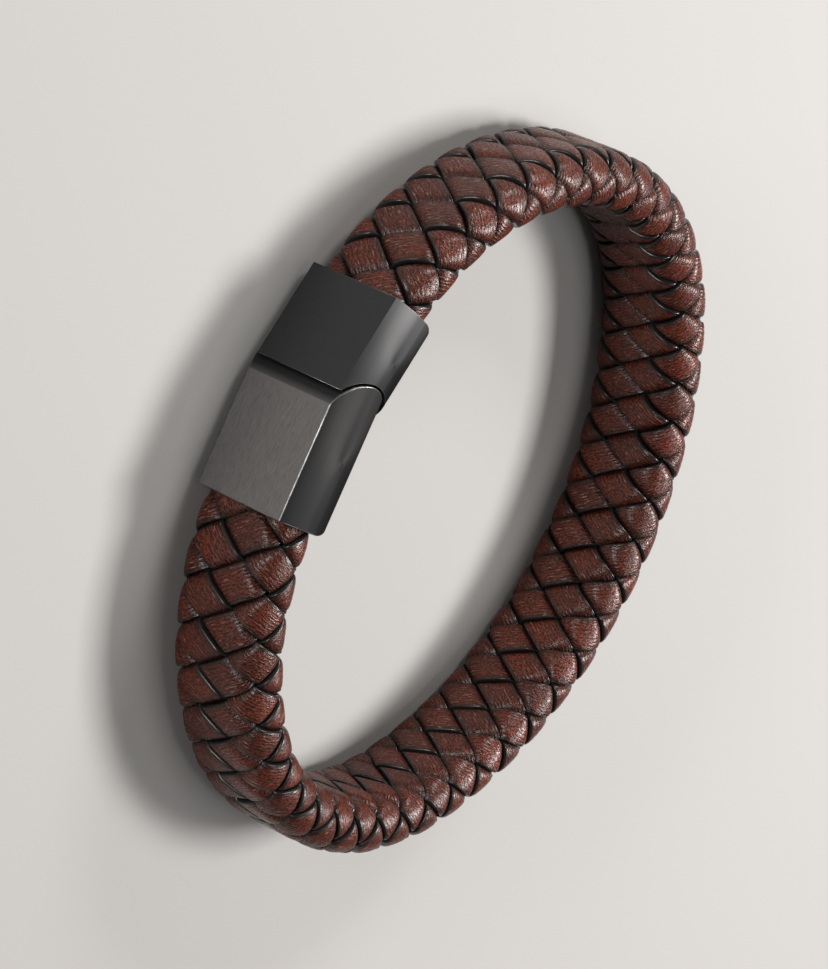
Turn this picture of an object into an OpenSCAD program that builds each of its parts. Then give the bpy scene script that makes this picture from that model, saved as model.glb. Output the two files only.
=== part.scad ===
// Braided leather bracelet, closed and lying on its side.
// Eight flat leather strands are plaited over one and under one round a core cord,
// into a flattened tube that runs from one mouth of the clasp round to the other.
// Millimetres, with Z up. The clasp is at the front, towards -Y.

/* [Loop] */
// Turn of each clasp half away from the line across the loop, in degrees
clasp_turn = 6.7; // [6:0.1:7.4]
// Distance from the loop's middle to the strap's middle line at the clasp's joint
clasp_distance = 27.84; // [27.4:0.01:28.3]
// Distance that the loop stands back, so that its box is centred on Y
loop_back = 0.11; // [0:0.01:0.3]
// Length of strap that runs straight from the joint, inside each half of the clasp
straight = 11.3; // [11.1:0.05:11.5]

/* [Strap] */
// Strap's thickness over the strands
strap_thickness = 6; // [5.9:0.1:6.4]
// Strap's width over the strands
strap_width = 12; // [11.6:0.1:12.4]
// Strap's width where the clasp squeezes it
mouth_width = 11.5; // [11:0.1:11.6]
// Length over which the strap widens from the mouth
widening_length = 2.5; // [2:0.5:6]

/* [Braid] */
// Thickness of a strand along its middle
strand_thickness = 0.8; // [0.6:0.05:0.8]
// How much thinner a strand is at its two edges
edge_thinning = 0.1; // [0.05:0.01:0.15]
// Rise and fall of a strand as it goes over and under, from the braid's middle surface
weave_height = 0.75; // [0.72:0.01:0.8]
// Half of a strand's width, as a share of the spacing between its neighbours
strand_half_share = 0.39; // [0.36:0.01:0.4]
// Half of the level stretch at a crossing, as a share of the distance between crossings
level_half_share = 0.38; // [0.33:0.01:0.4]
// How much wider the columns are on the faces than evenly spaced
face_spread = 0.1; // [0:0.01:0.12]
// Distance from the joint to the first cell past the clasp, along the strap
first_cell = 12.93; // [12.6:0.01:14]
// Mean length of one cell along the strap
cell_pitch = 4.29; // [4.26:0.001:4.31]
// How far the cells wander, because the braid is packed tighter in the two end bends
pitch_swing = 1.36; // [0:0.01:1.5]
// Distance from the first cell back to where the wandering starts
swing_lead = 7.84; // [6:0.01:9]
// How far the cells wander once round the loop, because one half is packed tighter than the other
side_swing = 0.64; // [0:0.01:0.8]
// Distance from the first cell on to where that wandering starts
side_swing_start = 9.94; // [8:0.01:12]
// Length of strap that lies inside each half of the clasp, in cells
tucked_cells = 1; // [0.5:0.5:1]

/* [Core] */
// Space left between the core cord and the strands' undersides
core_clearance = 0.3; // [0.25:0.05:0.4]
// Width of the core cord
core_width = 6; // [5:0.1:6.2]

/* [Clasp] */
// Length of each half, from the joint to the mouth that the strap goes into
half_length = 11.95; // [11.7:0.05:12.2]
// Thickness, from the outer flat to the inner flat
clasp_thickness = 7.8; // [7.7:0.1:8.2]
// Width over the rounded sides
clasp_width = 12.8; // [12.6:0.1:13.2]
// Radius of the rounded sides
side_radius = 7.5; // [7:0.1:9]
// Radius of the long edges beside the inner flat
inner_edge_radius = 3; // [2.4:0.1:3.2]
// How far the long edges' round meets the flat and the side short of smooth, as a faint line
edge_crease = 0.06; // [0.04:0.01:0.1]
// Radius of the edge between the inner flat and the mouth
mouth_edge_radius = 3; // [2.4:0.1:3.2]
// Depth of the strap's middle line under the outer flat
strap_depth = 3.8; // [3.7:0.05:3.9]
// Radius of the rounded end of the nose half
nose_radius = 4; // [3.95:0.05:4.1]
// Distance of the rounded end's axis from the joint
nose_axis_along = 0.95; // [0.8:0.05:1.1]
// Distance from the joint back to the lip's edge
lip_edge_along = 1.65; // [1.5:0.05:1.8]
// Gap between the rounded end and the hollow that it sits in
joint_gap = 0.2; // [0.15:0.01:0.25]
// Depth of the mouth
mouth_depth = 6.2; // [6:0.1:6.5]
// Space between the strap and the mouth's wall, all round
mouth_clearance = 0.18; // [0.15:0.01:0.2]
// Cut that leaves the narrow flat on each side, which the clasp lies on
side_land_cut = 0.02; // [0.01:0.01:0.04]

/* [Hidden] */
// Bends of one side of the strap's middle line, from the mouth on. Columns: radius, turn in degrees
SIDE_BENDS = [
    [20, 14],
    [30.5, 40],
    [24, 74.5]];
RADIUS = 0;
TURN = 1;

// Strands wind in two sets, one to each hand
STRANDS_PER_HAND = 4;
COLUMNS = 2 * STRANDS_PER_HAND;
RIGHT_HANDED = 1;
LEFT_HANDED = -1;

leather_colour = [0.30, 0.13, 0.10];
core_colour = [0.08, 0.06, 0.05];
dark_steel_colour = [0.17, 0.17, 0.17];
brushed_steel_colour = [0.34, 0.33, 0.33];

// Round surfaces of the clasp
$fn = 96;
// Length that a cutting shape runs past what it cuts
past = 1;

// The strap's middle line. A place on it is x, y and heading, going round from the joint towards +X
mouth_place = [straight * cos(clasp_turn), straight * sin(clasp_turn) - clasp_distance, clasp_turn];

function after_bend(place, radius, turn) = [
    place.x + radius * (sin(place[2] + turn) - sin(place[2])),
    place.y - radius * (cos(place[2] + turn) - cos(place[2])),
    place[2] + turn];
function place_at_bend(index) = index == 0 ? mouth_place :
    after_bend(place_at_bend(index - 1), SIDE_BENDS[index - 1][RADIUS], SIDE_BENDS[index - 1][TURN]);

// The last bend ends opposite the joint, with its centre on the loop's middle
last_place = place_at_bend(len(SIDE_BENDS));
BENDS = concat(SIDE_BENDS, [[last_place.x / sin(last_place[2]), 180 - last_place[2]]]);
PLACES = [for (index = [0:len(SIDE_BENDS)]) place_at_bend(index)];

function bend_length(bend) = bend[RADIUS] * bend[TURN] * PI / 180;
function bend_start(index) = index == 0 ? straight : bend_start(index - 1) + bend_length(BENDS[index - 1]);
STARTS = [for (index = [0:len(BENDS)]) bend_start(index)];
loop_length = 2 * STARTS[len(BENDS)];

function bend_index(along) = max([for (index = [0:len(BENDS) - 1]) along >= STARTS[index] ? index : 0]);
function place_on_side(along) = along < straight ?
    [along * cos(clasp_turn), along * sin(clasp_turn) - clasp_distance, clasp_turn] :
    let (index = bend_index(along), radius = BENDS[index][RADIUS])
    after_bend(PLACES[index], radius, (along - STARTS[index]) / radius * 180 / PI);
function mirrored(place) = [-place.x, place.y, -place[2]];
function place_on_loop(along) = along <= loop_length / 2 ? place_on_side(along) :
    mirrored(place_on_side(loop_length - along));

// The strap's width, which the clasp squeezes
function ease(share) = let (held = min(max(share, 0), 1)) held * held * (3 - 2 * held);
function past_mouth(along) = min(along, loop_length - along) - straight;
function width_at(along) = mouth_width
    + (strap_width - mouth_width) * ease(past_mouth(along) / widening_length);

// The clasp is wider than the strap, so the strap leans down to the surface opposite the clasp
far_y = place_on_side(loop_length / 2).y;
function rise_at(y) = clasp_width / 2
    - (clasp_width - strap_width) / 2 * (y + clasp_distance) / (far_y + clasp_distance);

// Point of a section at a distance round it from the middle of the outer face, going up over the edge.
// Its flats have half_flat on each side of their middle. Gives the distance outwards, then up
function round_section(distance, half_flat, radius, height) =
    let (
        half_turn = PI * radius,
        girth = 4 * half_flat + 2 * half_turn,
        from_top = distance - girth * floor(distance / girth),
        upper = from_top <= girth / 2,
        reach = upper ? from_top : girth - from_top,
        angle = min(max((reach - half_flat) / half_turn, 0), 1) * 180,
        level = reach < half_flat ? reach : half_flat - max(reach - half_flat - half_turn, 0),
        up = level + (radius + height) * sin(angle))
    [(radius + height) * cos(angle), upper ? up : -up];

// Point of the strap, from its distance along the loop, outwards and up
function strap_point(along, outwards, up) =
    let (place = place_on_loop(along))
    [place.x + outwards * sin(place[2]), place.y - outwards * cos(place[2]), rise_at(place.y) + up];

// The braid. A place in it is a cell number along and a column number round, from the outer face's middle
middle_radius = strap_thickness / 2 - weave_height - strand_thickness / 2;
function cell_distance(cell) =
    let (even = first_cell + cell_pitch * cell)
    even + pitch_swing * sin(720 * (even - first_cell + swing_lead) / loop_length)
        + side_swing * sin(360 * (even - first_cell - side_swing_start) / loop_length);
function spread_column(column) = column + face_spread * sin(column * 720 / COLUMNS);
function braid_point(cell, column, height) =
    let (
        along = cell_distance(cell),
        half_flat = (width_at(along) - strap_thickness) / 2,
        column_width = (4 * half_flat + 2 * PI * middle_radius) / COLUMNS,
        spot = round_section(spread_column(column) * column_width, half_flat, middle_radius, height))
    strap_point(along, spot[0], spot[1]);

// Height of a strand over the braid's middle surface: over at even steps and under at odd ones
function weave(step) =
    let (
        from_even = abs(step - 2 * round(step / 2)),
        share = (from_even - level_half_share) / (1 - 2 * level_half_share))
    weave_height * (1 - 2 * min(max(share, 0), 1));

// A strand keeps its own line of the lattice and crosses one line of the other hand after another.
// Its section's corners, each as a share sideways and a height
STRAND_SECTION = [
    [-strand_half_share, -strand_thickness / 2],
    [strand_half_share, -strand_thickness / 2],
    [strand_half_share, strand_thickness / 2 - edge_thinning],
    [0, strand_thickness / 2],
    [-strand_half_share, strand_thickness / 2 - edge_thinning]];
function strand_point(line, crossing, hand, corner) =
    let (
        sideways = line + corner[0],
        right_line = hand == RIGHT_HANDED ? sideways : crossing,
        left_line = hand == RIGHT_HANDED ? crossing : sideways,
        height = hand * weave(line - crossing) + corner[1])
    braid_point((right_line + left_line) / 2, right_line - left_line + 0.5, height);

// Triangles of a tube through rings of corners that are listed one ring after another
function tube_faces(rings, corners, flipped) =
    let (
        sides = [
            for (ring = [0:rings - 2], corner = [0:corners - 1])
                let (
                    next = (corner + 1) % corners,
                    low = ring * corners,
                    high = low + corners)
                each [[low + corner, low + next, high + next], [low + corner, high + next, high + corner]]],
        last = (rings - 1) * corners,
        caps = [
            for (corner = [1:corners - 2])
                each [[0, corner + 1, corner], [last, last + corner, last + corner + 1]]],
        faces = concat(sides, caps))
    flipped ? [for (face = faces) [face[0], face[2], face[1]]] : faces;

module strand(line, hand) {
    last_cell = floor(2 * (loop_length - first_cell - straight) / cell_pitch) / 2 + tucked_cells;
    first_crossing = ceil(-2 * tucked_cells - line);
    last_crossing = floor(2 * last_cell - line);
    crossings = [
        for (crossing = [first_crossing:last_crossing], side = [-1, 1])
            crossing + side * level_half_share];
    points = [
        for (crossing = crossings, corner = STRAND_SECTION)
            strand_point(line, crossing, hand, corner)];
    color(leather_colour)
        polyhedron(points, tube_faces(len(crossings), len(STRAND_SECTION), hand == RIGHT_HANDED));
}

// The core cord, an eight-sided flat bar bent to the loop
core_thickness = strap_thickness - 4 * weave_height - 2 * strand_thickness - 2 * core_clearance;
core_step = 3.5;
module braid_core() {
    half_thickness = core_thickness / 2;
    half_flat = core_width / 2 - half_thickness;
    girth = 4 * half_flat + 2 * PI * half_thickness;
    CORNERS = 8;
    start = straight - tucked_cells * cell_pitch / 2;
    steps = round((loop_length - 2 * start) / core_step);
    points = [
        for (step = [0:steps], corner = [0:CORNERS - 1])
            let (
                along = start + (loop_length - 2 * start) * step / steps,
                quarter = floor(corner / 2),
                turn = (corner % 2 == 0 ? 0 : 45) + quarter * 90,
                outwards = half_thickness * cos(turn),
                up = half_thickness * sin(turn) + sign(sin(turn + 1)) * half_flat)
            strap_point(along, outwards, up)];
    color(core_colour) polyhedron(points, tube_faces(steps + 1, CORNERS, false));
}

// The clasp. Each half is drawn along X with its outer flat on Y = 0 and its inner flat above that
outer_flat_y = -clasp_distance - strap_depth / cos(clasp_turn);
nose_axis = [
    nose_axis_along * cos(clasp_turn) - clasp_thickness / 2 * sin(clasp_turn),
    outer_flat_y + nose_axis_along * sin(clasp_turn) + clasp_thickness / 2 * cos(clasp_turn)];

module clasp_place(side) {
    translate([0, outer_flat_y, clasp_width / 2])
        rotate([0, 0, side * clasp_turn])
        children();
}

// How far each side's centre lies past the middle of the section
side_bow = side_radius - clasp_width / 2 - side_land_cut;

// Section of what is cut away to round one long edge beside the inner flat
module inner_edge_waste() {
    centre_x = clasp_thickness - inner_edge_radius + edge_crease;
    off_middle = centre_x - clasp_thickness / 2;
    reach = side_radius - inner_edge_radius + edge_crease;
    centre_y = sqrt(reach * reach - off_middle * off_middle) - side_bow;
    difference() {
        polygon([
            [centre_x, centre_y],
            [clasp_thickness + past, centre_y],
            [clasp_thickness + past, clasp_width],
            [centre_x + (clasp_width - centre_y) * off_middle / (centre_y + side_bow), clasp_width]]);
        translate([centre_x, centre_y]) circle(inner_edge_radius);
    }
}

// Section across a half: depth along X, width along Y
module clasp_section() {
    difference() {
        intersection() {
            translate([0, -clasp_width / 2]) square([clasp_thickness, clasp_width]);
            translate([clasp_thickness / 2, -side_bow]) circle(side_radius);
            translate([clasp_thickness / 2, side_bow]) circle(side_radius);
        }
        inner_edge_waste();
        mirror([0, 1]) inner_edge_waste();
    }
}

// An outline on the side of the clasp, cut right across its width
module across_clasp() {
    translate([0, 0, -clasp_width / 2 - past])
        linear_extrude(clasp_width + 2 * past)
        children();
}

// Outline of what is cut away to round the edge between the inner flat and the mouth
module mouth_edge_waste() {
    centre = [half_length - mouth_edge_radius, clasp_thickness - mouth_edge_radius];
    difference() {
        translate(centre) square(mouth_edge_radius + past);
        translate(centre) circle(mouth_edge_radius);
    }
}

// Pocket that the strap's end is glued into
module mouth_pocket() {
    height = strap_thickness + 2 * mouth_clearance;
    straight_width = mouth_width - strap_thickness;
    translate([half_length - mouth_depth, strap_depth, 0])
        rotate([0, 90, 0])
        linear_extrude(mouth_depth + past)
        union() {
            square([straight_width, height], center = true);
            for (side = [-1, 1])
                translate([side * straight_width / 2, 0]) circle(d = height);
        }
}

// One half along X, from a distance beside the joint to the mouth
module clasp_half(from) {
    difference() {
        translate([from, 0, 0])
            rotate([90, 0, 90])
            linear_extrude(half_length - from)
            clasp_section();
        across_clasp() mouth_edge_waste();
        mouth_pocket();
    }
}

// Outline of what is cut away in front of the nose half, which leaves its rounded end
module nose_waste() {
    difference() {
        translate([nose_axis_along - 2 * nose_radius, -past])
            square([2 * nose_radius, clasp_thickness + 2 * past]);
        translate([nose_axis_along, clasp_thickness / 2]) circle(nose_radius);
    }
}

module clasp_nose_half() {
    color(brushed_steel_colour)
        clasp_place(1)
        difference() {
            clasp_half(nose_axis_along - nose_radius - past / 2);
            across_clasp() nose_waste();
        }
}

module clasp_lip_half() {
    color(dark_steel_colour)
        difference() {
            clasp_place(-1)
                mirror([1, 0, 0])
                clasp_half(lip_edge_along);
            translate([nose_axis.x, nose_axis.y, -past])
                cylinder(clasp_width + 2 * past, r = nose_radius + joint_gap);
        }
}

module standing_back() {
    translate([0, loop_back, 0]) children();
}

module strand_1() { standing_back() strand(0, RIGHT_HANDED); }
module strand_2() { standing_back() strand(1, RIGHT_HANDED); }
module strand_3() { standing_back() strand(2, RIGHT_HANDED); }
module strand_4() { standing_back() strand(3, RIGHT_HANDED); }
module strand_5() { standing_back() strand(0, LEFT_HANDED); }
module strand_6() { standing_back() strand(1, LEFT_HANDED); }
module strand_7() { standing_back() strand(2, LEFT_HANDED); }
module strand_8() { standing_back() strand(3, LEFT_HANDED); }

strand_1();
strand_2();
strand_3();
strand_4();
strand_5();
strand_6();
strand_7();
strand_8();
standing_back() braid_core();
standing_back() clasp_lip_half();
standing_back() clasp_nose_half();
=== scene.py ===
"""Braided leather bracelet, lying on its side: strands, clasp, floor, light and camera."""
import math

import bmesh
import bpy
import numpy as np
from mathutils import Matrix, Vector


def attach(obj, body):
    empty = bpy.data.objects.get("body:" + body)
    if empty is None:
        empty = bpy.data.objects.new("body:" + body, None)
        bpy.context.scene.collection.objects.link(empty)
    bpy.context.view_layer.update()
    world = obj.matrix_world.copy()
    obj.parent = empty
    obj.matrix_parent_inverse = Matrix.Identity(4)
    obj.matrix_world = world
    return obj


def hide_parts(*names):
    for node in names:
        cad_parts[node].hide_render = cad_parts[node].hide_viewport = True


MM = 0.001

# Strap's middle line, in mm, from the clasp's joint round towards +X
CLASP_TURN = math.radians(6.7)
CLASP_DISTANCE = 27.84
LOOP_BACK = 0.11
CLASP_WIDTH = 12.8
STRAIGHT = 11.3
SIDE_BENDS = [  # radius, turn in degrees
    (20, 14),
    (30.5, 40),
    (24, 74.5)]

# Strap and strands, in mm: the strap is narrower in the clasp's mouths
STRAP_THICKNESS = 6.0
STRAP_WIDTH = 12.0
MOUTH_WIDTH = 11.5
WIDENING_LENGTH = 2.5
STRAND_THICKNESS = 0.8
WEAVE_HEIGHT = 0.58

# Half a strand's width and the wider columns on the flat faces, as shares of a column
STRAND_HALF_SHARE = 0.462
FACE_SPREAD = 0.14

# How sharply a strand dives, and how much longer it stays over than under
WAVE_SHARPNESS = 2.2
LATE_DIVE = 0.06

# Outline of half a strand's section: share of its half width, height in mm, and how much it is cut edge
HALF_SECTION = [
    (0.00, 0.40, 0.0),
    (0.35, 0.395, 0.0),
    (0.68, 0.375, 0.0),
    (0.85, 0.345, 0.0),
    (0.895, 0.325, 0.3),
    (0.935, 0.295, 1.0),
    (0.97, 0.24, 1.0),
    (0.99, 0.17, 1.0),
    (1.00, 0.06, 1.0),
    (1.00, -0.22, 1.0),
    (0.96, -0.38, 1.0),
    (0.70, -0.40, 1.0)]
SECTION = HALF_SECTION + [(-share, height, edge) for share, height, edge in reversed(HALF_SECTION[1:])]

# Cells along the strap, in mm: tighter in the two end bends and in one half of the loop
FIRST_CELL = 12.93
CELL_PITCH = 4.29
PITCH_SWING = 1.36
SWING_LEAD = 7.84
SIDE_SWING = 0.64
SIDE_SWING_START = 9.94

# Cells inside each mouth, and how far a strand goes on past its last crossing, in crossings
TUCKED_CELLS = 1.0
END_OVERHANG = 0.3

# Columns round the strap, and the column in which the first lines of the two hands cross
COLUMNS = 8
CROSSING_COLUMN = 0.5
STRANDS_PER_HAND = 4
RINGS_PER_CROSSING = 12
RIGHT_HANDED, LEFT_HANDED = 1, -1

# Random spreads from crossing to crossing: sideways in columns, width as a share, height in mm
LEATHER_SEED = 41
DRIFT_SPREAD = 0.010
WIDTH_SPREAD = 0.025
LIFT_SPREAD = 0.02

# Scale of the grain in mm: from crossing to crossing, half a strand's width, and from strand to strand
GRAIN_LENGTH = 3.75
GRAIN_HALF_WIDTH = 1.5
GRAIN_APART = 17.0

# Photograph's camera: angles in degrees, distances in mm, set against the loop's middle
CAMERA_AZIMUTH = 4.81
CAMERA_ELEVATION = 35.39
CAMERA_ROLL = 114.9
CAMERA_DISTANCE = 455.5
CAMERA_AIM = (1.32, -3.58)
CAMERA_TARGET = (-0.485, LOOP_BACK, 6.2)
CAMERA_LENS = 170.08
CAMERA_SENSOR = 36
CAMERA_CLIP = (0.01, 10)  # in m

# Clasp's joining of flat faces, bevelled edges and shading, in m and degrees
MERGE_DISTANCE = 1e-6
FLAT_ANGLE = math.radians(0.5)
SHARP_ANGLE = math.radians(20)
BEVEL_WIDTH = 0.00012
BEVEL_SEGMENTS = 2
LIP_BEVEL_ANGLE = math.radians(64)
NOSE_BEVEL_ANGLE = math.radians(24)

# Where the clasp's looks change, with its painted light and shade: by how far a surface faces a way, and
# by metres along the clasp
SIDE_FACING = (0.30, 0.60)
OUTWARD_FACING = (0.08, 0.50)
UNDER_LIP_FACING = (-0.04, 0.09)
PAINTED_LIGHT_ALONG = (0.0035, 0.0115)
LIP_SHADOW_ALONG = (-0.0008, 0.0001)

# Steel: repeats of its brushed lines, clouds and the patches of painted highlight on its edges in a
# metre, and how metallic it is
BRUSH_SCALE = (120, 8500, 8500)
CLOUD_SCALE = (120, 120, 120)
EDGE_HIGHLIGHT_SCALE = (900, 900, 900)
METALLIC = 0.9

# Leather: repeats in a mm along and across the strand, and from strand to strand
RIDGE_SCALE = (0.8, 1, 1)
PEBBLE_SCALE = (3.2, 5.0, 1)
PIT_SCALE = (5.0, 7.5, 1)
PATCH_SCALE = (0.55, 0.8, 3)
SHADE_SCALE = (0.38, 0.6, 1)
# Repeats of the pale painted glints
GLINT_NOISE_SCALE = (1.1, 8.5, 2)

# Leather's colours in linear light, the first two as dips and ridges, then roughness and relief in m
BROWN = ((0.004, 0.0014, 0.0011), (0.154, 0.0295, 0.0148))
RED_BROWN = ((0.006, 0.0015, 0.0009), (0.192, 0.0300, 0.0110))
DARK_TINT = (0.029, 0.0085, 0.0055)
# Painted shade along a strand's sides
PAINTED_SIDE_SHADE = (0.009, 0.0035, 0.0027)
PIT_COLOUR = (0.006, 0.003, 0.0025)
# Colour of the pale painted glints
PAINTED_GLINT_COLOUR = (0.42, 0.28, 0.24)
# Painted shade where a strand dives under its neighbours
PAINTED_DIVE_SHADE = (0.004, 0.0025, 0.002)
CUT_EDGE_COLOUR = (0.013, 0.013, 0.0125)
CUT_EDGE_ROUGHNESS = 0.26
SURFACE_DEPTH = 0.00008
PIT_DEPTH = 0.00003
WAX_DEPTH = 0.000035

FLOOR_HALF_WIDTH = 1.5
WORLD_COLOUR = (0.85, 0.86, 0.9, 1)
WORLD_STRENGTH = 0.12

LIGHTS = [  # name, direction, distance in m, size in m, power in W
    ("key", (-0.33, 0.50, 0.79), 0.6, (0.2, 0.15), 5.6),
    ("top", (0.0, 0.1, 1.0), 0.8, (0.4, 0.3), 2.0),
    ("front", (0.10, -0.95, 0.24), 0.7, (0.35, 0.08), 2.7),
    ("side", (-0.88, -0.18, 0.46), 0.7, (0.25, 0.15), 2.8)]


def path_places():
    """Start of each bend as distance, x, y, heading and radius, from the mouth to the far middle."""
    x = STRAIGHT * math.cos(CLASP_TURN)
    y = STRAIGHT * math.sin(CLASP_TURN) - CLASP_DISTANCE
    heading = CLASP_TURN
    along = STRAIGHT
    rows = []
    for radius, turn in SIDE_BENDS:
        rows.append((along, x, y, heading, radius))
        ahead = heading + math.radians(turn)
        x += radius * (math.sin(ahead) - math.sin(heading))
        y -= radius * (math.cos(ahead) - math.cos(heading))
        along += radius * math.radians(turn)
        heading = ahead
    last_radius = x / math.sin(heading)
    rows.append((along, x, y, heading, last_radius))
    far = along + last_radius * (math.pi - heading)
    return rows, far


PLACES, HALF_LOOP = path_places()
LOOP_LENGTH = 2 * HALF_LOOP


def place_on_loop(along):
    """x, y and heading of the strap's middle line at distances along it."""
    along = np.asarray(along, float)
    mirrored = along > HALF_LOOP
    side = np.where(mirrored, LOOP_LENGTH - along, along)
    x = side * math.cos(CLASP_TURN)
    y = side * math.sin(CLASP_TURN) - CLASP_DISTANCE
    heading = np.full_like(side, CLASP_TURN)
    for start, start_x, start_y, start_heading, radius in PLACES:
        past = side >= start
        ahead = start_heading + (side - start) / radius
        x = np.where(past, start_x + radius * (np.sin(ahead) - math.sin(start_heading)), x)
        y = np.where(past, start_y - radius * (np.cos(ahead) - math.cos(start_heading)), y)
        heading = np.where(past, ahead, heading)
    return np.where(mirrored, -x, x), y, np.where(mirrored, -heading, heading)


FAR_Y = float(place_on_loop(HALF_LOOP)[1])


def ease(share):
    """0 to 1 with a soft start and end."""
    held = np.clip(share, 0, 1)
    return held * held * (3 - 2 * held)


def strap_point(along, outwards, up):
    """Points of the strap in metres, from distance along, outwards and up in mm."""
    x, y, heading = place_on_loop(along)
    lean = (CLASP_WIDTH - STRAP_WIDTH) / 2 * (y + CLASP_DISTANCE) / (FAR_Y + CLASP_DISTANCE)
    return np.stack([
        x + outwards * np.sin(heading),
        y - outwards * np.cos(heading) + LOOP_BACK,
        CLASP_WIDTH / 2 - lean + up], -1) * MM


def braid_point(cell, column, height):
    """Points of the braid in metres, from cell number along, column number round and height in mm."""
    even = FIRST_CELL + CELL_PITCH * cell
    once_round = 2 * math.pi * (even - FIRST_CELL) / LOOP_LENGTH
    along = (even + PITCH_SWING * np.sin(2 * once_round + 4 * math.pi * SWING_LEAD / LOOP_LENGTH)
             + SIDE_SWING * np.sin(once_round - 2 * math.pi * SIDE_SWING_START / LOOP_LENGTH))
    past_mouth = np.minimum(along, LOOP_LENGTH - along) - STRAIGHT
    width = MOUTH_WIDTH + (STRAP_WIDTH - MOUTH_WIDTH) * ease(past_mouth / WIDENING_LENGTH)
    half_flat = (width - STRAP_THICKNESS) / 2
    radius = STRAP_THICKNESS / 2 - WEAVE_HEIGHT - STRAND_THICKNESS / 2
    girth = 4 * half_flat + 2 * math.pi * radius
    spread = column + FACE_SPREAD * np.sin(column * math.pi / 2)
    round_it = (spread * girth / COLUMNS) % girth
    upper = round_it <= girth / 2
    reach = np.where(upper, round_it, girth - round_it)
    angle = np.clip((reach - half_flat) / (math.pi * radius), 0, 1) * math.pi
    level = np.where(reach < half_flat, reach,
                     half_flat - np.maximum(reach - half_flat - math.pi * radius, 0))
    up = level + (radius + height) * np.sin(angle)
    return strap_point(along, (radius + height) * np.cos(angle), np.where(upper, up, -up))


def weave(step):
    """Height of a strand in mm: over at even steps and under at odd ones, with rounded shoulders."""
    over = np.tanh(WAVE_SHARPNESS * (np.cos(math.pi * step) + LATE_DIVE))
    return WEAVE_HEIGHT * over / math.tanh(WAVE_SHARPNESS * (1 + LATE_DIVE))


def strand_ends(line):
    """First and last crossing of a strand, hidden in the clasp's mouths."""
    last_cell = math.floor(2 * (LOOP_LENGTH - FIRST_CELL - STRAIGHT) / CELL_PITCH) / 2 + TUCKED_CELLS
    first = math.ceil(-2 * TUCKED_CELLS - line) - END_OVERHANG
    last = math.floor(2 * last_cell - line) + END_OVERHANG
    return first, last


def tube_faces(rings, corners, flipped):
    """Quads round a tube and a cap at each end, facing outwards."""
    ring, corner = np.meshgrid(np.arange(rings - 1), np.arange(corners), indexing="ij")
    beside = (corner + 1) % corners
    quads = np.stack([
        ring * corners + corner, ring * corners + beside,
        (ring + 1) * corners + beside, (ring + 1) * corners + corner], -1).reshape(-1, 4)
    caps = [list(range(corners)), list(range((rings - 1) * corners, rings * corners))]
    if flipped:
        quads = quads[:, ::-1]
    caps[1 if flipped else 0].reverse()
    return quads.tolist() + caps


def keep_on_points(mesh, label, values):
    """Keep numbers or vectors on a mesh's points, for its material to read."""
    kind, field = ("FLOAT_VECTOR", "vector") if values.ndim == 3 else ("FLOAT", "value")
    attribute = mesh.attributes.new(label, kind, "POINT")
    attribute.data.foreach_set(field, values.astype(np.float32).ravel())


def strand_mesh(name, line, hand, number):
    """One flat strand that winds round the braid, with its grain's directions kept as attributes."""
    random = np.random.default_rng(LEATHER_SEED + number)
    first, last = strand_ends(line)
    rings = round((last - first) * RINGS_PER_CROSSING) + 1
    crossing = np.linspace(first, last, rings)[:, None]
    share, section_height, edge = (np.array(column)[None, :] for column in zip(*SECTION))

    knots = np.arange(math.floor(first) - 1, math.ceil(last) + 2)
    drift = np.interp(crossing, knots, random.normal(0, DRIFT_SPREAD, knots.size))
    width = 1 + np.interp(crossing, knots, random.normal(0, WIDTH_SPREAD, knots.size))
    lift = np.interp(crossing, knots, random.normal(0, LIFT_SPREAD, knots.size))
    tint = random.uniform(0, 1, knots.size)[np.round(crossing - knots[0]).astype(int)]

    sideways = line + drift + share * STRAND_HALF_SHARE * width
    over = weave(line - crossing + (0 if hand == RIGHT_HANDED else 1))
    height = over + section_height + lift
    right_line, left_line = (sideways, crossing) if hand == RIGHT_HANDED else (crossing, sideways)
    points = braid_point((right_line + left_line) / 2, right_line - left_line + CROSSING_COLUMN, height)

    mesh = bpy.data.meshes.new(name)
    faces = tube_faces(rings, share.size, hand == LEFT_HANDED)
    mesh.from_pydata(points.reshape(-1, 3).tolist(), [], faces)
    mesh.polygons.foreach_set("use_smooth", np.ones(len(mesh.polygons), bool))

    grain = np.broadcast_arrays(crossing * GRAIN_LENGTH, share * GRAIN_HALF_WIDTH, number * GRAIN_APART)
    keep_on_points(mesh, "grain", np.stack(grain, -1))
    for label, values in (("cut_edge", edge), ("tint", tint), ("lift", over / WEAVE_HEIGHT)):
        keep_on_points(mesh, label, np.broadcast_to(values, height.shape))
    return mesh


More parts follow.
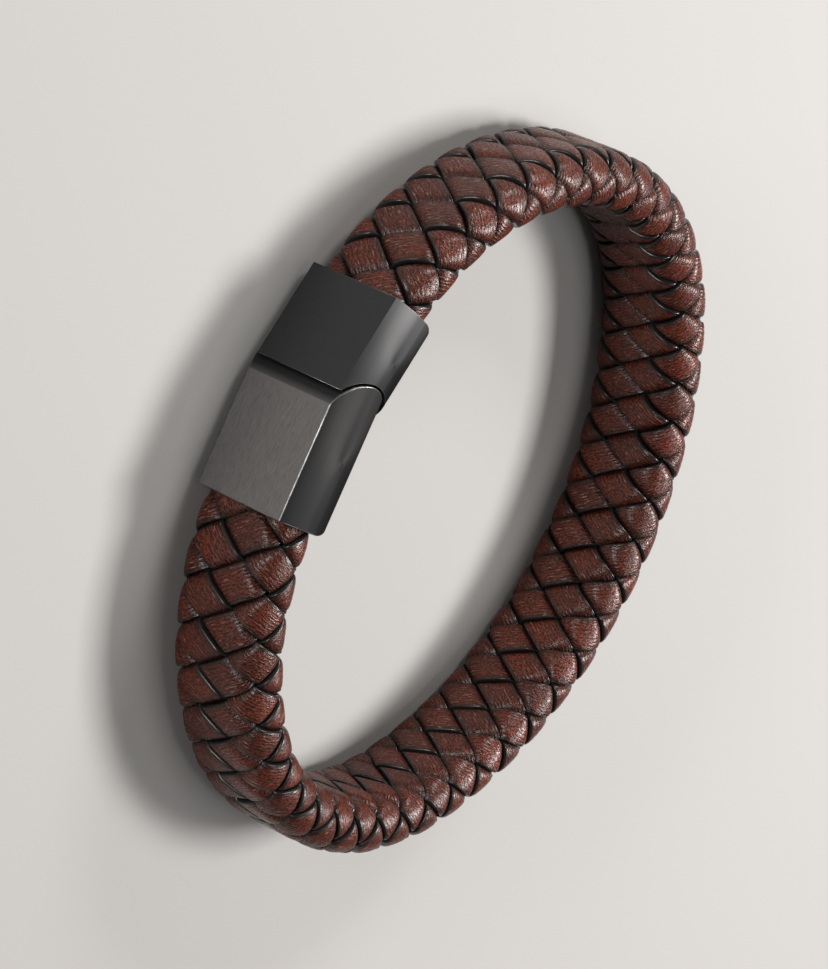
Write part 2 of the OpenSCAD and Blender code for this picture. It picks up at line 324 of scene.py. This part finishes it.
class Look:
    """Short way to write a material's node tree."""

    def __init__(self, name):
        self.material = bpy.data.materials.new(name)
        self.material.use_nodes = True
        self.tree = self.material.node_tree
        self.shader = self.tree.nodes["Principled BSDF"]

    def put(self, socket, value):
        """Link another socket to this one, or set its own value."""
        if isinstance(value, bpy.types.NodeSocket):
            self.tree.links.new(value, socket)
        elif isinstance(value, tuple) and len(value) == 3 and socket.type == "RGBA":
            socket.default_value = (*value, 1)
        else:
            socket.default_value = value

    def give(self, name, value):
        """Link or set one of the shader's own inputs."""
        self.put(self.shader.inputs[name], value)

    def add(self, kind, output=0, inputs=(), **settings):
        """Add a node with its settings and inputs, and give back one of its outputs."""
        node = self.tree.nodes.new(kind)
        for key, value in settings.items():
            setattr(node, key, value)
        for key, value in dict(inputs).items():
            self.put(node.inputs[key], value)
        return node.outputs[output]

    def attribute(self, name, output="Fac"):
        return self.add("ShaderNodeAttribute", output, attribute_name=name)

    def part_of(self, vector, axis):
        return self.add("ShaderNodeSeparateXYZ", axis, {0: vector})

    def math(self, operation, first, second=0.0):
        return self.add("ShaderNodeMath", 0, {0: first, 1: second}, operation=operation)

    def stretched(self, vector, scale):
        return self.add("ShaderNodeVectorMath", 0, {0: vector, 1: scale}, operation="MULTIPLY")

    def noise(self, vector, detail=3.0, roughness=0.55):
        return self.add("ShaderNodeTexNoise", "Fac", {
            "Vector": vector, "Scale": 1.0, "Detail": detail, "Roughness": roughness})

    def between(self, value, low, high, to_low=0.0, to_high=1.0):
        """A value's place between low and high, held to the range to_low to to_high."""
        return self.add("ShaderNodeMapRange", 0, {
            "Value": value, "From Min": low, "From Max": high, "To Min": to_low, "To Max": to_high})

    def mix(self, share, first, second, data_type="RGBA"):
        node = self.tree.nodes.new("ShaderNodeMix")
        node.data_type = data_type
        self.put(node.inputs["Factor"], share)
        self.put(node.inputs["A"], first)
        self.put(node.inputs["B"], second)
        return node.outputs["Result"]

    def mix_value(self, share, first, second):
        return self.mix(share, first, second, "FLOAT")

    def bump(self, height, distance, normal=None):
        """Normal of a surface with a relief, on top of another normal if one is given."""
        inputs = {"Height": height, "Distance": distance}
        if normal is not None:
            inputs["Normal"] = normal
        return self.add("ShaderNodeBump", 0, inputs)


def leather_grain(look, grain):
    """Height of the leather's surface, its fine pits, and patches where pebbles give way to ridges."""
    ridges = look.add("ShaderNodeTexWave", "Fac", {
        "Vector": look.stretched(grain, RIDGE_SCALE), "Scale": 1.0, "Distortion": 7.0, "Detail": 3.0,
        "Detail Scale": 1.1, "Detail Roughness": 0.7}, wave_type="BANDS", bands_direction="Y")
    pebbles = look.between(look.noise(look.stretched(grain, PEBBLE_SCALE), 2, 0.6), 0.38, 0.60)
    pits = look.between(look.noise(look.stretched(grain, PIT_SCALE), 1, 0.5), 0.38, 0.54)
    patches = look.between(look.noise(look.stretched(grain, PATCH_SCALE), 1), 0.42, 0.58)
    raised = look.mix_value(look.between(patches, 0.0, 1.0, 0.15, 0.7), pebbles, ridges)
    creases = look.math("POWER", look.math("SUBTRACT", 1.0, raised), 1.6)
    return look.math("SUBTRACT", 1.0, creases), pits, patches


def leather_colour(look, grain, surface, pits, patches):
    """Two browns, darker in the grain's creases and pits, with painted shade along each strand's sides
    and where it dives under, pale painted glints and black cut edges.
    """
    cloud = look.between(look.noise(look.stretched(grain, SHADE_SCALE), 1), 0.38, 0.62)
    varied = look.mix(cloud, look.mix(surface, *BROWN), look.mix(surface, *RED_BROWN))
    tinted = look.mix(look.math("MULTIPLY", look.attribute("tint"), 0.5), varied, DARK_TINT)
    # Painted shade along each strand's sides, next to the gaps between strands
    across = look.math("ABSOLUTE", look.part_of(grain, "Y"))
    shaded = look.mix(look.between(across, 0.85, 1.35, 0.0, 0.6), tinted, PAINTED_SIDE_SHADE)
    pitted = look.mix(look.between(pits, 0.0, 0.8, 0.8, 0.0), shaded, PIT_COLOUR)
    # Pale streaks where the grain rises: painted glints
    glint_noise = look.noise(look.stretched(grain, GLINT_NOISE_SCALE), 2, 0.6)
    painted_glint = look.math("MULTIPLY", look.between(glint_noise, 0.58, 0.70, 0.0, 0.7),
                      look.between(patches, 0.2, 0.9, 0.35, 1.0))
    glinted = look.mix(look.math("MULTIPLY", painted_glint, surface), pitted, PAINTED_GLINT_COLOUR)
    # Painted shade where the strand dives under its neighbours
    dive_shaded = look.mix(look.between(look.attribute("lift"), 0.1, 0.97, 0.85, 0.0), glinted, PAINTED_DIVE_SHADE)
    return look.mix(look.attribute("cut_edge"), dive_shaded, CUT_EDGE_COLOUR)


def leather_material():
    """Waxed brown leather: ridges along the strand, pebbled patches, painted shade in the dips and black
    edges.
    """
    look = Look("waxed_leather")
    grain = look.attribute("grain", "Vector")
    cut_edge = look.attribute("cut_edge")
    surface, pits, patches = leather_grain(look, grain)
    look.give("Base Color", leather_colour(look, grain, surface, pits, patches))

    polish = look.math("ADD", look.math("MULTIPLY", pits, 0.4), look.math("MULTIPLY", surface, 0.6))
    waxed = look.between(polish, 0.1, 0.9, 0.56, 0.36)
    look.give("Roughness", look.mix_value(cut_edge, waxed, CUT_EDGE_ROUGHNESS))
    look.give("Specular IOR Level", 0.14)
    # Brown tint on the reflections: a painted reflection of warm surroundings
    look.give("Specular Tint", (1.0, 0.60, 0.46))
    look.give("Coat Weight", 0.50)
    look.give("Coat Roughness", 0.27)

    smooth_edge = look.math("SUBTRACT", 1.0, cut_edge)
    raised = look.math("MULTIPLY", surface, smooth_edge)
    pitted = look.math("MULTIPLY", pits, smooth_edge)
    look.give("Normal", look.bump(pitted, PIT_DEPTH, look.bump(raised, SURFACE_DEPTH)))
    look.give("Coat Normal", look.bump(raised, WAX_DEPTH))
    return look.material


def steel_material(name, flat_colours, painted_side_colours, painted_outward_colours, roughness, brush_depth,
                   under_lip_shadow_colours=None):
    """Black-plated steel: flats brushed along the clasp, sides with painted light and shade that follow
    the way they face and change towards the mouth.
    """
    look = Look(name)
    place = look.add("ShaderNodeTexCoord", "Object")
    turned = look.add("ShaderNodeTexCoord", "Normal")
    along = look.part_of(place, "X")
    brush = look.noise(look.stretched(place, BRUSH_SCALE), 3, 0.7)
    cloud = look.noise(look.stretched(place, CLOUD_SCALE), 2)
    side = look.between(look.math("ABSOLUTE", look.part_of(turned, "Z")), *SIDE_FACING)
    outward = look.between(look.math("MULTIPLY", look.part_of(turned, "Y"), -1.0), *OUTWARD_FACING)
    # Painted light on the sides changes towards the mouth
    painted_mouth_light = look.between(look.math("ABSOLUTE", along), *PAINTED_LIGHT_ALONG)

    flats = look.mix(look.between(brush, 0.3, 0.7), *flat_colours)
    # Painted shadow on the band under the lip: black at the lip's edge, lighter further from it
    if under_lip_shadow_colours:
        under_lip = look.between(look.part_of(turned, "X"), *UNDER_LIP_FACING, 1.0, 0.0)
        shade = look.mix(look.between(along, *LIP_SHADOW_ALONG), *under_lip_shadow_colours)
        flats = look.mix(under_lip, flats, shade)
    # The sides' colours are painted light and shade, set by which way a side faces
    sides = look.mix(outward, look.mix(painted_mouth_light, *painted_side_colours), look.mix(painted_mouth_light, *painted_outward_colours))
    look.give("Base Color", look.mix(side, flats, sides))
    look.give("Metallic", METALLIC)
    look.give("Roughness", look.between(cloud, 0.3, 0.7, roughness - 0.02, roughness + 0.04))
    look.give("Anisotropic", 0.3)
    relief = look.math("MULTIPLY", brush, look.between(side, 0.0, 1.0, 1.0, 0.35))
    look.give("Normal", look.bump(relief, brush_depth))
    return look.material


def edge_highlight_material():
    """Lighter steel along the clasp's bevelled edges, in patches: a painted highlight."""
    look = Look("painted_edge_highlight")
    place = look.add("ShaderNodeTexCoord", "Object")
    highlight_patches = look.between(look.noise(look.stretched(place, EDGE_HIGHLIGHT_SCALE), 3, 0.6), 0.35, 0.65)
    look.give("Base Color", look.mix(highlight_patches, (0.09, 0.088, 0.086), (0.22, 0.217, 0.213)))
    look.give("Metallic", METALLIC)
    look.give("Roughness", 0.35)
    return look.material


def core_material():
    """Dark twisted cord, hidden by the strands."""
    look = Look("core_cord")
    place = look.add("ShaderNodeTexCoord", "Object")
    twist = look.noise(look.stretched(place, (2500, 2500, 2500)), 3)
    look.give("Base Color", look.mix(twist, (0.004, 0.003, 0.003), (0.012, 0.009, 0.008)))
    look.give("Roughness", 0.9)
    look.give("Normal", look.bump(twist, 0.0001))
    return look.material


def floor_material():
    """Plain pale floor."""
    look = Look("pale_floor")
    look.give("Base Color", (0.33, 0.315, 0.30))
    look.give("Roughness", 0.7)
    return look.material


def add_object(name, mesh, material):
    """Put a mesh into the scene with its material."""
    mesh.materials.append(material)
    piece = bpy.data.objects.new(name, mesh)
    bpy.context.scene.collection.objects.link(piece)
    return piece


def add_strands():
    """Eight leather strands, four of each hand, each in place of the CAD strand of its number."""
    leather = leather_material()
    for number in range(2 * STRANDS_PER_HAND):
        hand = RIGHT_HANDED if number < STRANDS_PER_HAND else LEFT_HANDED
        node = f"strand_{number + 1}"
        name = f"leather_{node}"
        mesh = strand_mesh(name, number % STRANDS_PER_HAND, hand, number)
        piece = add_object(name, mesh, leather)
        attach(piece, "root")
        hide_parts(node)


def clean_copy(mesh):
    """A copy of a CAD mesh with its flat faces joined up, so that only real edges are left."""
    copy = mesh.copy()
    copy.materials.clear()
    solid = bmesh.new()
    solid.from_mesh(copy)
    bmesh.ops.remove_doubles(solid, verts=solid.verts, dist=MERGE_DISTANCE)
    bmesh.ops.dissolve_limit(solid, angle_limit=FLAT_ANGLE, verts=solid.verts, edges=solid.edges)
    for face in solid.faces:
        face.smooth = True
    for edge in solid.edges:
        edge.smooth = edge.calc_face_angle(0) < SHARP_ANGLE
    solid.to_mesh(copy)
    solid.free()
    return copy


def bevel_edges(half, bevel_angle):
    """Fine bevels along a clasp half's sharp edges, in its second material, which paints a highlight
    along them.
    """
    bevel = half.modifiers.new("fine_edges", "BEVEL")
    bevel.width = BEVEL_WIDTH
    bevel.segments = BEVEL_SEGMENTS
    bevel.limit_method = "ANGLE"
    bevel.angle_limit = bevel_angle
    bevel.harden_normals = True
    bevel.material = 1
    even_shading = half.modifiers.new("even_shading", "WEIGHTED_NORMAL")
    even_shading.keep_sharp = True


def add_clasp(nodes):
    """The clasp halves: the CAD solids with fine bevels along their sharp edges."""
    edge_highlight = edge_highlight_material()
    lip_steel = steel_material(
        "dark_steel",
        flat_colours=((0.047, 0.047, 0.048), (0.053, 0.053, 0.054)),
        # Sides painted lighter towards the mouth and where they face outwards
        painted_side_colours=((0.0095, 0.0092, 0.009), (0.030, 0.0293, 0.029)),
        painted_outward_colours=((0.023, 0.0225, 0.022), (0.068, 0.0666, 0.0657)),
        roughness=0.46, brush_depth=0.000002)
    nose_steel = steel_material(
        "brushed_steel",
        flat_colours=((0.145, 0.139, 0.136), (0.225, 0.216, 0.211)),
        # Sides painted a little darker towards the mouth
        painted_side_colours=((0.016, 0.0155, 0.015), (0.011, 0.0105, 0.0105)),
        painted_outward_colours=((0.018, 0.0173, 0.0168), (0.014, 0.0135, 0.0132)),
        roughness=0.48, brush_depth=0.000005,
        # Painted shadow under the lip
        under_lip_shadow_colours=((0.026, 0.026, 0.0265), (0.112, 0.110, 0.109)))
    halves = (
        ("clasp_lip_half", "dark_steel", lip_steel, LIP_BEVEL_ANGLE),
        ("clasp_nose_half", "brushed_steel", nose_steel, NOSE_BEVEL_ANGLE))
    for node, slot, steel, bevel_angle in halves:
        mesh = clean_copy(nodes[node].data)
        half = add_object(f"steel_{node}", mesh, steel)
        mesh.materials.append(edge_highlight)
        bevel_edges(half, bevel_angle)
        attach(half, "root")
        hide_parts(node)


def colour_core(core):
    """The core is shown as it is in the CAD, with the cord's material."""
    core.data.materials.clear()
    core.data.materials.append(core_material())


def add_floor():
    """Wide flat floor at the bracelet's lowest point."""
    half = FLOOR_HALF_WIDTH
    corners = [(-half, -half, 0), (half, -half, 0), (half, half, 0), (-half, half, 0)]
    mesh = bpy.data.meshes.new("floor")
    mesh.from_pydata(corners, [], [(0, 1, 2, 3)])
    add_object("floor", mesh, floor_material())


def add_camera():
    """The photograph's camera, turned about its own axis so that the bracelet stands upright."""
    azimuth, elevation, roll = map(math.radians, (CAMERA_AZIMUTH, CAMERA_ELEVATION, CAMERA_ROLL))
    back = Vector((math.sin(azimuth) * math.cos(elevation), -math.cos(azimuth) * math.cos(elevation),
                   math.sin(elevation)))
    level_right = Vector((math.cos(azimuth), math.sin(azimuth), 0))
    level_up = back.cross(level_right)
    right = math.cos(roll) * level_right + math.sin(roll) * level_up
    up = -math.sin(roll) * level_right + math.cos(roll) * level_up
    place = (Vector(CAMERA_TARGET) + CAMERA_AIM[0] * level_right + CAMERA_AIM[1] * level_up
             + CAMERA_DISTANCE * back) * MM
    camera = bpy.data.objects.new("camera", bpy.data.cameras.new("camera"))
    bpy.context.scene.collection.objects.link(camera)
    camera.matrix_world = Matrix.Translation(place) @ Matrix((right, up, back)).transposed().to_4x4()
    camera.data.lens = CAMERA_LENS
    camera.data.sensor_width = CAMERA_SENSOR
    camera.data.clip_start, camera.data.clip_end = CAMERA_CLIP
    bpy.context.scene.camera = camera


def add_light(name, direction, distance, size, power):
    """Rectangular soft light that faces the bracelet from a direction."""
    light = bpy.data.lights.new(name, "AREA")
    light.shape = "RECTANGLE"
    light.size, light.size_y = size
    light.energy = power
    lamp = bpy.data.objects.new(name, light)
    bpy.context.scene.collection.objects.link(lamp)
    direction = Vector(direction).normalized()
    lamp.location = direction * distance
    lamp.rotation_mode = "QUATERNION"
    lamp.rotation_quaternion = direction.to_track_quat("Z", "Y")


def add_lights():
    """Soft studio light: a dim even surrounding and four rectangular lights."""
    world = bpy.data.worlds.new("studio")
    world.use_nodes = True
    background = world.node_tree.nodes["Background"]
    background.inputs["Color"].default_value = WORLD_COLOUR
    background.inputs["Strength"].default_value = WORLD_STRENGTH
    bpy.context.scene.world = world
    for light in LIGHTS:
        add_light(*light)


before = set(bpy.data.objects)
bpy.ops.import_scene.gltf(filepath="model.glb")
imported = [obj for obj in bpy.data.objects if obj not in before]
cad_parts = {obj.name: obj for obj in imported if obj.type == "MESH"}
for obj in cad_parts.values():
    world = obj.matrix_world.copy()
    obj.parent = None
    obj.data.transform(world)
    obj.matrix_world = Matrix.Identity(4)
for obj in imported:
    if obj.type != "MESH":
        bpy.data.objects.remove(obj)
bpy.context.scene.view_settings.view_transform = "Standard"
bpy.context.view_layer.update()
add_camera()
add_strands()
add_clasp(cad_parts)
colour_core(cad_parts["braid_core"])
add_floor()
add_lights()
